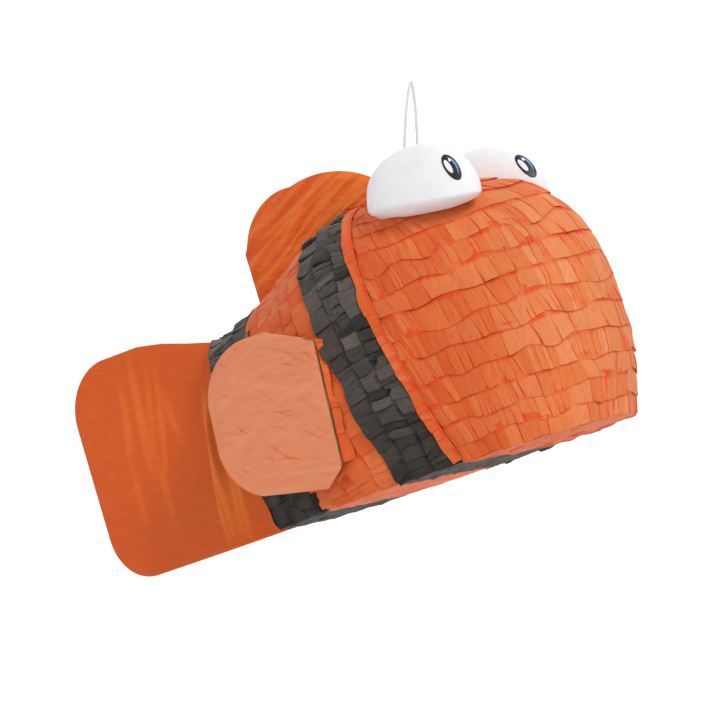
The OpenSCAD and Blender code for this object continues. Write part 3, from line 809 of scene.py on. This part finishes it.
def head_base():
    """Strips across the underside of the head."""
    rng = np.random.RandomState(51)
    mesh = Mesh()
    reach = HEAD_X + NOSE_L + 0.4
    count = 6
    width = (reach - HEAD_X) / count
    wide = float(half_w(1.0)) + 0.4

    def half(x):
        return wide * np.sqrt(np.clip(1 - ((x - HEAD_X) / (NOSE_L + 0.4)) ** 2, 0.0, 1))

    for k in range(count):
        front = reach - k * width
        run = 2 * float(half(front - 0.6 * width))

        def place(u, v, h, front=front, run=run):
            x = np.clip(front - v, HEAD_X - 3, reach)
            return stack(x, (2 * u / run - 1) * half(x), -h)

        pleated(
            mesh, place, run, width, rng, amp=(0.2, 0.8), flare=(0.3, 0.9), overlap=1.2, rise=0.2,
            wild=0.3,
        )
    mesh.make("head_base_strips", ORANGE, "fish", "orange_crepe", "head_base_crepe")


crepe_covers()


# ---- Fins -----------------------------------------------------------------------------------
def arc(c, r, a0, a1, n):
    a = np.radians(np.linspace(a0, a1, n + 1))
    return [(c[0] + r * math.cos(k), c[1] + r * math.sin(k)) for k in a]


def star(centre, outline, angles):
    """How far the outline is from the centre, along each angle."""
    p = np.array(outline, float) - centre
    q = np.roll(p, -1, axis=0) - p
    d = np.stack([np.cos(angles), np.sin(angles)], -1)
    det = d[:, None, 0] * q[None, :, 1] - d[:, None, 1] * q[None, :, 0]
    det = np.where(np.abs(det) < 1e-9, 1e-9, det)
    far = (p[None, :, 0] * q[None, :, 1] - p[None, :, 1] * q[None, :, 0]) / det
    share = (p[None, :, 0] * d[:, None, 1] - p[None, :, 1] * d[:, None, 0]) / det
    hit = (far > 0) & (share >= -1e-6) & (share <= 1 + 1e-6)
    return np.where(hit, far, 1e9).min(1)


def crest(n):
    """Sharp ridges where smooth noise crosses zero: 1 on the ridge, 0 far from it."""
    return np.clip(1 - 1.4 * np.abs(n), 0, 1)


def creases(rng, x, z, count, box, angle, length, width, height):
    """Straight-ish folds at random places in a box. The ranges are (low, high)."""
    total = np.zeros(x.shape)
    for _ in range(count):
        cx, cz = rng.uniform(box[0], box[1]), rng.uniform(box[2], box[3])
        a, reach = rng.uniform(*angle), rng.uniform(*length)
        wide, tall, bend = rng.uniform(*width), rng.uniform(*height), rng.uniform(-0.12, 0.12)
        along = (x - cx) * cosd(a) + (z - cz) * sind(a)
        across = -(x - cx) * sind(a) + (z - cz) * cosd(a) + bend * along**2 / reach
        fade = np.clip(1 - (along / reach) ** 2, 0, 1) ** 1.5
        total += tall * np.exp(-((across / wide) ** 2)) * fade
    return total


# Each folds function gives the fold height and a share that paints the tissue lighter on the big folds:
# painted highlight there, painted shade where it is low
def tail_folds(rng, x, z):
    long = creases(rng, x, z, 8, (92, 168, 60, 135), (79, 88), (55, 95), (2.2, 4.2), (2.0, 3.8))
    long += creases(rng, x, z, 9, (15, 85, 40, 160), (74, 100), (30, 60), (2.5, 5.0), (0.4, 0.9))
    fine = creases(rng, x, z, 70, (10, 180, 15, 185), (60, 125), (6, 22), (0.7, 1.4), (0.12, 0.32))
    low = 0.4 * ripple(rng, x, z, 70)
    return long + fine + low, np.clip(0.3 + 0.24 * long, 0, 1)


def dorsal_folds(rng, x, z):
    long = creases(rng, x, z, 30, (215, 360, 205, 275), (16, 31), (40, 80), (1.6, 3.4), (1.0, 2.6))
    fine = creases(rng, x, z, 40, (210, 365, 200, 275), (10, 40), (8, 25), (0.7, 1.3), (0.15, 0.4))
    return long + fine + 0.3 * ripple(rng, x, z, 50), np.clip(0.25 + 0.35 * long, 0, 1)


def side_folds(rng, x, z):
    box = (195, 325, 20, 150)
    long = creases(rng, x, z, 12, box, (-40, 20), (25, 70), (1.2, 3.0), (0.25, 0.7))
    fine = creases(rng, x, z, 110, box, (-60, 5), (5, 22), (0.45, 0.9), (0.1, 0.3))
    web = crest(ripple(rng, x, z, 16)) ** 5
    high = long + fine + 0.18 * web + 0.35 * ripple(rng, x, z, 45)
    return high, np.clip(0.45 + 0.5 * long - 0.8 * fine, 0, 1)


def fin_face(
    name, outline, centre, y, side, folds, seed, material, body, node, joined=(1e3, 0.0),
    around=420, rings=84, soft=3.2,
):
    """One side of a fin: tissue over the flat card, wrinkled, and rounded over the edge. In front of
    the line joined, x at the foot and its backward lean, the tissue does not reach past the card."""
    rng = np.random.RandomState(seed)
    a = np.linspace(0, 2 * math.pi, around + 1)
    reach = star(centre, outline, a)
    past = centre[0] + reach * np.cos(a) - joined[0] + joined[1] * (centre[1] + reach * np.sin(a))
    reach = reach + TISSUE_PAST * (1 - smooth((past + 4) / 4))
    r = np.concatenate([np.linspace(0.0, 0.9, rings - 12) ** 0.9, np.linspace(0.915, 1, 12)])
    r = r[:, None]
    x = centre[0] + r * reach * np.cos(a)
    z = centre[1] + r * reach * np.sin(a)
    inset = (1 - r) * reach
    edge = np.sqrt(np.clip(1 - (1 - np.clip(inset / soft, 0, 1)) ** 2, 0, 1))
    high, ridge = folds(rng, x, z)
    half = FIN_CARD_T / 2 + TISSUE_T
    inner = smooth(inset / 9.0)
    tall = (half + 0.25) * edge + inner * np.clip(high + 0.35, 0.0, None)
    p = stack(x, y + side * tall, z)
    mesh = Mesh()
    out = np.broadcast_to(np.array([0.0, side, 0.0]), p.shape)
    # One minus the ridge share is the crease attribute: painted shade at the foot of the folds, painted
    # highlight on their ridges
    mesh.grid(p, out, lay=stack(x, z, 0 * x + seed), depth=1 - ridge)
    return mesh.make(name, material, body, "orange_tissue", node, weld=WELD)


JOINT_X = REAR_X - 0.3
TAIL = (
    arc((12, 44.5), 44, 180, 270, 12)
    + [(JOINT_X - REAR_LEAN * 0.5, 0.5), (JOINT_X - REAR_LEAN * 174, 174)]
    + [(118, 184), (90, 193), (62, 199)]
    + arc((17, 151), 50, 90, 180, 14)
)
SIDE_FIN = (
    [FIN_HIGH, (266, 151)]
    + arc((243, 99), 53, 90, 165, 12)
    + arc((238, 74), 50, 185, 250, 12)
    + [(285, 15), FIN_LOW]
)
TAB_GAP, TAB_W, TAB_TOP_W = 1.3, 11.0, 4.0


def side_y(x, z):
    """Half the body's width at a point of its side."""
    s = (x + REAR_LEAN * z - REAR_X) / (HEAD_X - REAR_X - (BAND_LEAN - REAR_LEAN) * z)
    t = np.linspace(0, 1, 400)
    height = np.interp(z / back_h(s), height_share(t), t)
    return (half_w(s) + SKIN) * width_share(height)


def fin_tab_strips():
    """The pleated strip that joins a side fin's crease to the body."""
    rng = np.random.RandomState(85)
    low, high = np.array(FIN_LOW), np.array(FIN_HIGH)
    run = float(np.linalg.norm(high - low)) - 1.0
    for word, side in (("right", -1), ("left", 1)):
        mesh = Mesh()

        def place(u, v, h):
            share = u / run
            wide = mix(TAB_W, TAB_TOP_W, share) + 1.2 * np.sin(u / 5.0)
            v = np.maximum(v, 0)
            x = mix(low[0], high[0], share) + TAB_GAP + 0.6 + v / TAB_W * (wide - TAB_GAP)
            z = mix(low[1], high[1], share)
            out = mix(FIN_Y + 0.2, side_y(x, z) + 1.6, smooth(v / TAB_W))
            return stack(x, side * (out + 0.6 * h), z)

        pleated(
            mesh, place, run, TAB_W, rng, mean=5.5, amp=(0.4, 1.4), flare=(0.2, 0.8), overlap=0.3,
            rise=0.1, wild=0.6,
        )
        mesh.make(f"{word}_fin_tab_strip", ORANGE, "fish", "orange_tissue", f"{word}_fin_tab")


def dorsal_outline():
    """The dorsal fin above the ridge: two circles joined and trimmed."""
    s = np.linspace(0, 1, 40)
    ridge = np.concatenate([body_pt(s, 1.0, SKIN + 0.3), head_pt(0.0, 1 - 0.24 * s, 0.3)])
    x = np.linspace(209.0, 369.0, 121)
    low = np.interp(x, ridge[:, 0], ridge[:, 2])
    circles = ((262, 222, 53), (290, 170, 105))
    tops = [cz + np.sqrt(np.clip(r * r - (x - cx) ** 2, 0, None)) for cx, cz, r in circles]
    high = np.maximum(*tops)
    return [(a, b) for a, b in zip(x, low)] + [(a, b) for a, b in zip(x[::-1], high[::-1])]


def fins():
    for word, side in (("right", -1), ("left", 1)):
        fin_face(
            f"tail_tissue_{word}_skin", TAIL, (95.0, 96.0), 0.0, side, tail_folds, 60 + side,
            FIN_TISSUE, "fish", f"tail_tissue_{word}", (JOINT_X, REAR_LEAN),
        )
        fin_face(
            f"dorsal_tissue_{word}_skin", dorsal_outline(), (285.0, 243.0), 0.0, side, dorsal_folds,
            70 + side, FIN_TISSUE, "fish", f"dorsal_tissue_{word}",
        )
        for face, way in (("outer", 1), ("inner", -1)):
            fin_face(
                f"{word}_fin_{face}_skin", SIDE_FIN, (262.0, 84.0), side * FIN_Y, side * way,
                side_folds, 80 + 3 * side + way, PALE_TISSUE, f"{word}_fin",
                f"{word}_fin_{face}_tissue", (FIN_LOW[0], 0.0),
            )
    fin_tab_strips()


fins()


# ---- Eyes -----------------------------------------------------------------------------------
BACK_AT, BACK_N = np.array([381.0, 0, 203.0]), np.array([cosd(12), 0, -sind(12)])
PRINT_L, PRINT_W, PRINT_ALONG = 25.0, 11.0, np.array([0.148, 0.246, -0.96])


def head_tree():
    """The right half of the head's skin, for asking how far outside it a point is."""
    phi, t = np.meshgrid(np.linspace(90, -30, 61), np.linspace(0.3, 1.0, 71))
    p = head_pt(phi, t, 0.3)
    rows, cols = p.shape[:2]
    faces = [
        (i * cols + j, i * cols + j + 1, (i + 1) * cols + j + 1, (i + 1) * cols + j)
        for i in range(rows - 1)
        for j in range(cols - 1)
    ]
    return BVHTree.FromPolygons([tuple(v) for v in p.reshape(-1, 3)], faces)


def inside_head(tree, p):
    found = [tree.find_nearest(tuple(v)) for v in p]
    pairs = zip(p, found)
    return np.array([(Vector(tuple(v)) - at).dot(normal) < 0 for v, (at, normal, _, _) in pairs])


def tipped(d, way=1):
    """Turns a dome's own directions into the fish's, or back again."""
    c, s = math.cos(EYE_TILT), way * math.sin(EYE_TILT)
    return stack(d[..., 0] * c + d[..., 2] * s, d[..., 1], d[..., 2] * c - d[..., 0] * s)


def egg_radii(above):
    """The dome's radii: it is tall above its widest line and shallow below."""
    return stack(EYE_R[0], EYE_R[1], np.where(above >= 0, EYE_R[2], EYE_DIP))


def dome_point(theta, rho):
    """A point of the eye's oval: rho degrees from its outward pole, in the direction theta."""
    pole = np.array([0.10, -0.62, 0.78])
    pole /= np.linalg.norm(pole)
    e1 = np.cross(pole, [0, 1.0, 0])
    e1 /= np.linalg.norm(e1)
    e2 = np.cross(pole, e1)
    c, s = cosd(rho)[..., None], sind(rho)[..., None]
    d = pole * c + (e1 * np.cos(theta)[..., None] + e2 * np.sin(theta)[..., None]) * s
    return EYE_AT + tipped(d * egg_radii(d[..., 2]))


def dome_reach(theta):
    """How far the dome's skin runs from its pole in each direction, in degrees, before it meets the
    head or its own blunt back, and which directions end at the back."""
    tree = head_tree()
    reach = np.full(len(theta), 175.0)
    at_back = np.zeros(len(theta), bool)
    steps = np.linspace(2, 178, 177)
    for k, a in enumerate(theta[:-1]):
        line = dome_point(np.full(len(steps), a), steps)
        back = ((line - BACK_AT) @ BACK_N) < 0
        stop = back | inside_head(tree, line)
        first = int(np.argmax(stop)) if stop.any() else len(steps) - 1
        reach[k], at_back[k] = steps[first], back[first]
    reach[-1], at_back[-1] = reach[0], at_back[0]
    blur = np.array([1, 2, 3, 2, 1]) / 9.0
    ring = np.concatenate([reach[-3:-1], reach[:-1], reach[:2]])
    reach[:-1] = np.convolve(ring, blur, "valid")
    reach[-1] = reach[0]
    return reach, at_back


def eye_domes():
    theta = np.linspace(0, 2 * math.pi, 201)
    reach, at_back = dome_reach(theta)
    share = np.concatenate([np.linspace(0.0, 0.93, 60), [0.96, 0.985, 1.0]])[:, None]
    p = dome_point(np.broadcast_to(theta, (len(share), len(theta))), share * reach)
    rng = np.random.RandomState(90)
    local = tipped(p - EYE_AT, -1)
    out = tipped(local / egg_radii(local[..., 2]) ** 2)
    out /= np.linalg.norm(out, axis=-1)[..., None]
    folds = crest(ripple(rng, p[..., 0], p[..., 2] * 1.4, 26)) ** 3
    soft = smooth(np.clip(1 - share, 0, 1) / 0.1)
    uneven = (0.35 * folds + 0.3 * ripple(rng, p[..., 0], p[..., 2], 30))[..., None]
    p = p + out * uneven * (0.4 + 0.6 * soft)[..., None]
    # Behind its rim the dome turns in over a small radius and runs on, to a point inside the head
    rim = p[-1]
    target = np.broadcast_to(np.array([428.0, -24.0, 190.0]), rim.shape).copy()
    target[at_back] -= ((target[at_back] - BACK_AT) @ BACK_N)[:, None] * BACK_N
    inward = target - rim
    inward /= np.linalg.norm(inward, axis=-1)[:, None]
    rows = [rim + inward * 0.6 - out[-1] * 0.15]
    rows += [rim + inward * d - out[-1] * 0.5 for d in (1.6, 4.0)]
    rows += [mix(rows[-1], target, part) for part in (0.25, 0.5, 0.75, 1.0)]
    p = np.concatenate([p, np.array(rows)])
    for word in ("right", "left"):
        mesh = Mesh()
        shape = p if word == "right" else flip(p)
        centre = EYE_AT if word == "right" else flip(EYE_AT)
        mesh.grid(shape, shape - centre, lay=shape, depth=0 * shape[..., 0])
        mesh.make(f"{word}_eye_shell", WHITE, "fish", "white_paper", f"{word}_eye_dome", weld=WELD)


def eye_print(word, centre, at, facing):
    """An oval paper sticker that follows its dome."""
    n = np.array(facing) / np.linalg.norm(facing)
    along = PRINT_ALONG - n * (PRINT_ALONG @ n)
    along /= np.linalg.norm(along)
    across = np.cross(n, along)
    rho = np.concatenate([np.linspace(0.0, 0.97, 26), [0.99, 1.0, 1.0]])[:, None]
    theta = np.linspace(0, 2 * math.pi, 97)
    x, y = rho * np.cos(theta), rho * np.sin(theta)
    start = np.array(at) + (x * PRINT_L / 2)[..., None] * along + (y * PRINT_W / 2)[..., None] * across
    # Where the line along the sticker's axis meets the dome
    o, d = tipped(start - centre, -1) / EYE_R, tipped(n, -1) / EYE_R
    gap = np.sum(o * d, -1)
    disc = gap**2 - (d @ d) * (np.sum(o * o, -1) - 1)
    hit = (-gap + np.sqrt(np.clip(disc, 0, None))) / (d @ d)
    lift = np.full(rho.shape, 0.75)
    lift[-1], lift[-2] = 0.0, 0.6
    p = start + (hit + lift)[..., None] * n
    mesh = Mesh()
    mesh.grid(p, np.broadcast_to(n, p.shape), lay=stack(y, -x, 0 * x), depth=0 * x)
    mesh.make(f"{word}_eye_print", PRINT, "fish", "printed_paper", f"{word}_eye_decal", weld=WELD)


def eye_prints():
    eye_print("right", EYE_AT, (469.0, -62.0, 219.0), (0.46, -0.86, 0.22))
    eye_print("left", flip(EYE_AT), (474.0, 42.5, 219.0), (0.7, -0.64, 0.3))


eye_domes()
eye_prints()


# ---- Finishes of the CAD nodes that stay ----------------------------------------------------
FINISHES = {
    "base_panel": CARD,
    "right_side_panel": CARD,
    "left_side_panel": CARD,
    "back_panel": CARD,
    "rear_end_panel": CARD,
    "face_panel": PULP,
    "crown_panel": PULP,
    "crown_patch": CARD,
    "anchor_rod": WOOD,
    "string_ties": STRING,
    "dorsal_board": CARD,
    "tail_board": CARD,
    "tail_tabs": FIN_TISSUE,
    "right_fin_board": CARD,
    "left_fin_board": CARD,
    "filling_flap": PULP,
}
for node_name, material in FINISHES.items():
    data = NODES[node_name].data
    data.materials.clear()
    data.materials.append(material)


# ---- Stage and light ------------------------------------------------------------------------
FLOOR_DROP = 0.95  # metres from the hook down to the floor


def stage():
    """A round white sweep: a flat floor that curves up into a wall."""
    m = Nodes("studio_sweep", Specular_IOR_Level=0.1)
    fleck = m.noise(m.place(), 3.0, 2.0)
    m.finish(m.mixed(fleck, (0.88, 0.88, 0.88), (0.90, 0.90, 0.90)), 0.9, m.bump(fleck, 0.001, 0.1))
    profile = [(0.0, 0.0), (1.2, 0.0), (2.4, 0.0)]
    profile += [(2.4 + 1.4 * sind(a), 1.4 - 1.4 * cosd(a)) for a in range(6, 91, 6)] + [(3.8, 4.2)]
    turns = 96
    points = [
        (r * cosd(360 * k / turns), r * sind(360 * k / turns), z - FLOOR_DROP)
        for r, z in profile
        for k in range(turns)
    ]
    faces = [
        (i * turns + k, i * turns + n, (i + 1) * turns + n, (i + 1) * turns + k)
        for i in range(len(profile) - 1)
        for k, n in zip(range(turns), [*range(1, turns), 0])
    ]
    data = bpy.data.meshes.new("sweep")
    data.from_pydata([tuple(map(float, p)) for p in points], [], faces)
    data.polygons.foreach_set("use_smooth", np.ones(len(faces), bool))
    data.materials.append(m.material)
    sweep = bpy.data.objects.new("sweep", data)
    bpy.context.scene.collection.objects.link(sweep)


def light(name, place, aim, size, power):
    data = bpy.data.lights.new(name, "AREA")
    data.shape, data.size, data.energy = "DISK", size, power
    lamp = bpy.data.objects.new(name, data)
    lamp.location = place
    lamp.rotation_euler = (Vector(aim) - Vector(place)).to_track_quat("-Z", "Y").to_euler()
    bpy.context.scene.collection.objects.link(lamp)


stage()
CENTRE = (-0.05, 0.0, -0.2)
light("key", (2.0, -1.3, 1.7), CENTRE, 0.9, 46)
light("fill", (-1.3, -2.0, 0.5), CENTRE, 1.6, 6)
light("top", (0.0, 0.6, 2.2), CENTRE, 1.8, 12)
light("backdrop", (-0.4, 0.9, 1.6), (-1.9, 2.8, -0.1), 1.2, 72)

world = bpy.data.worlds.new("studio")
world.use_nodes = True
world.node_tree.nodes["Background"].inputs["Color"].default_value = (1, 1, 1, 1)
world.node_tree.nodes["Background"].inputs["Strength"].default_value = 0.22
bpy.context.scene.world = world
bpy.context.scene.view_settings.view_transform = "Standard"
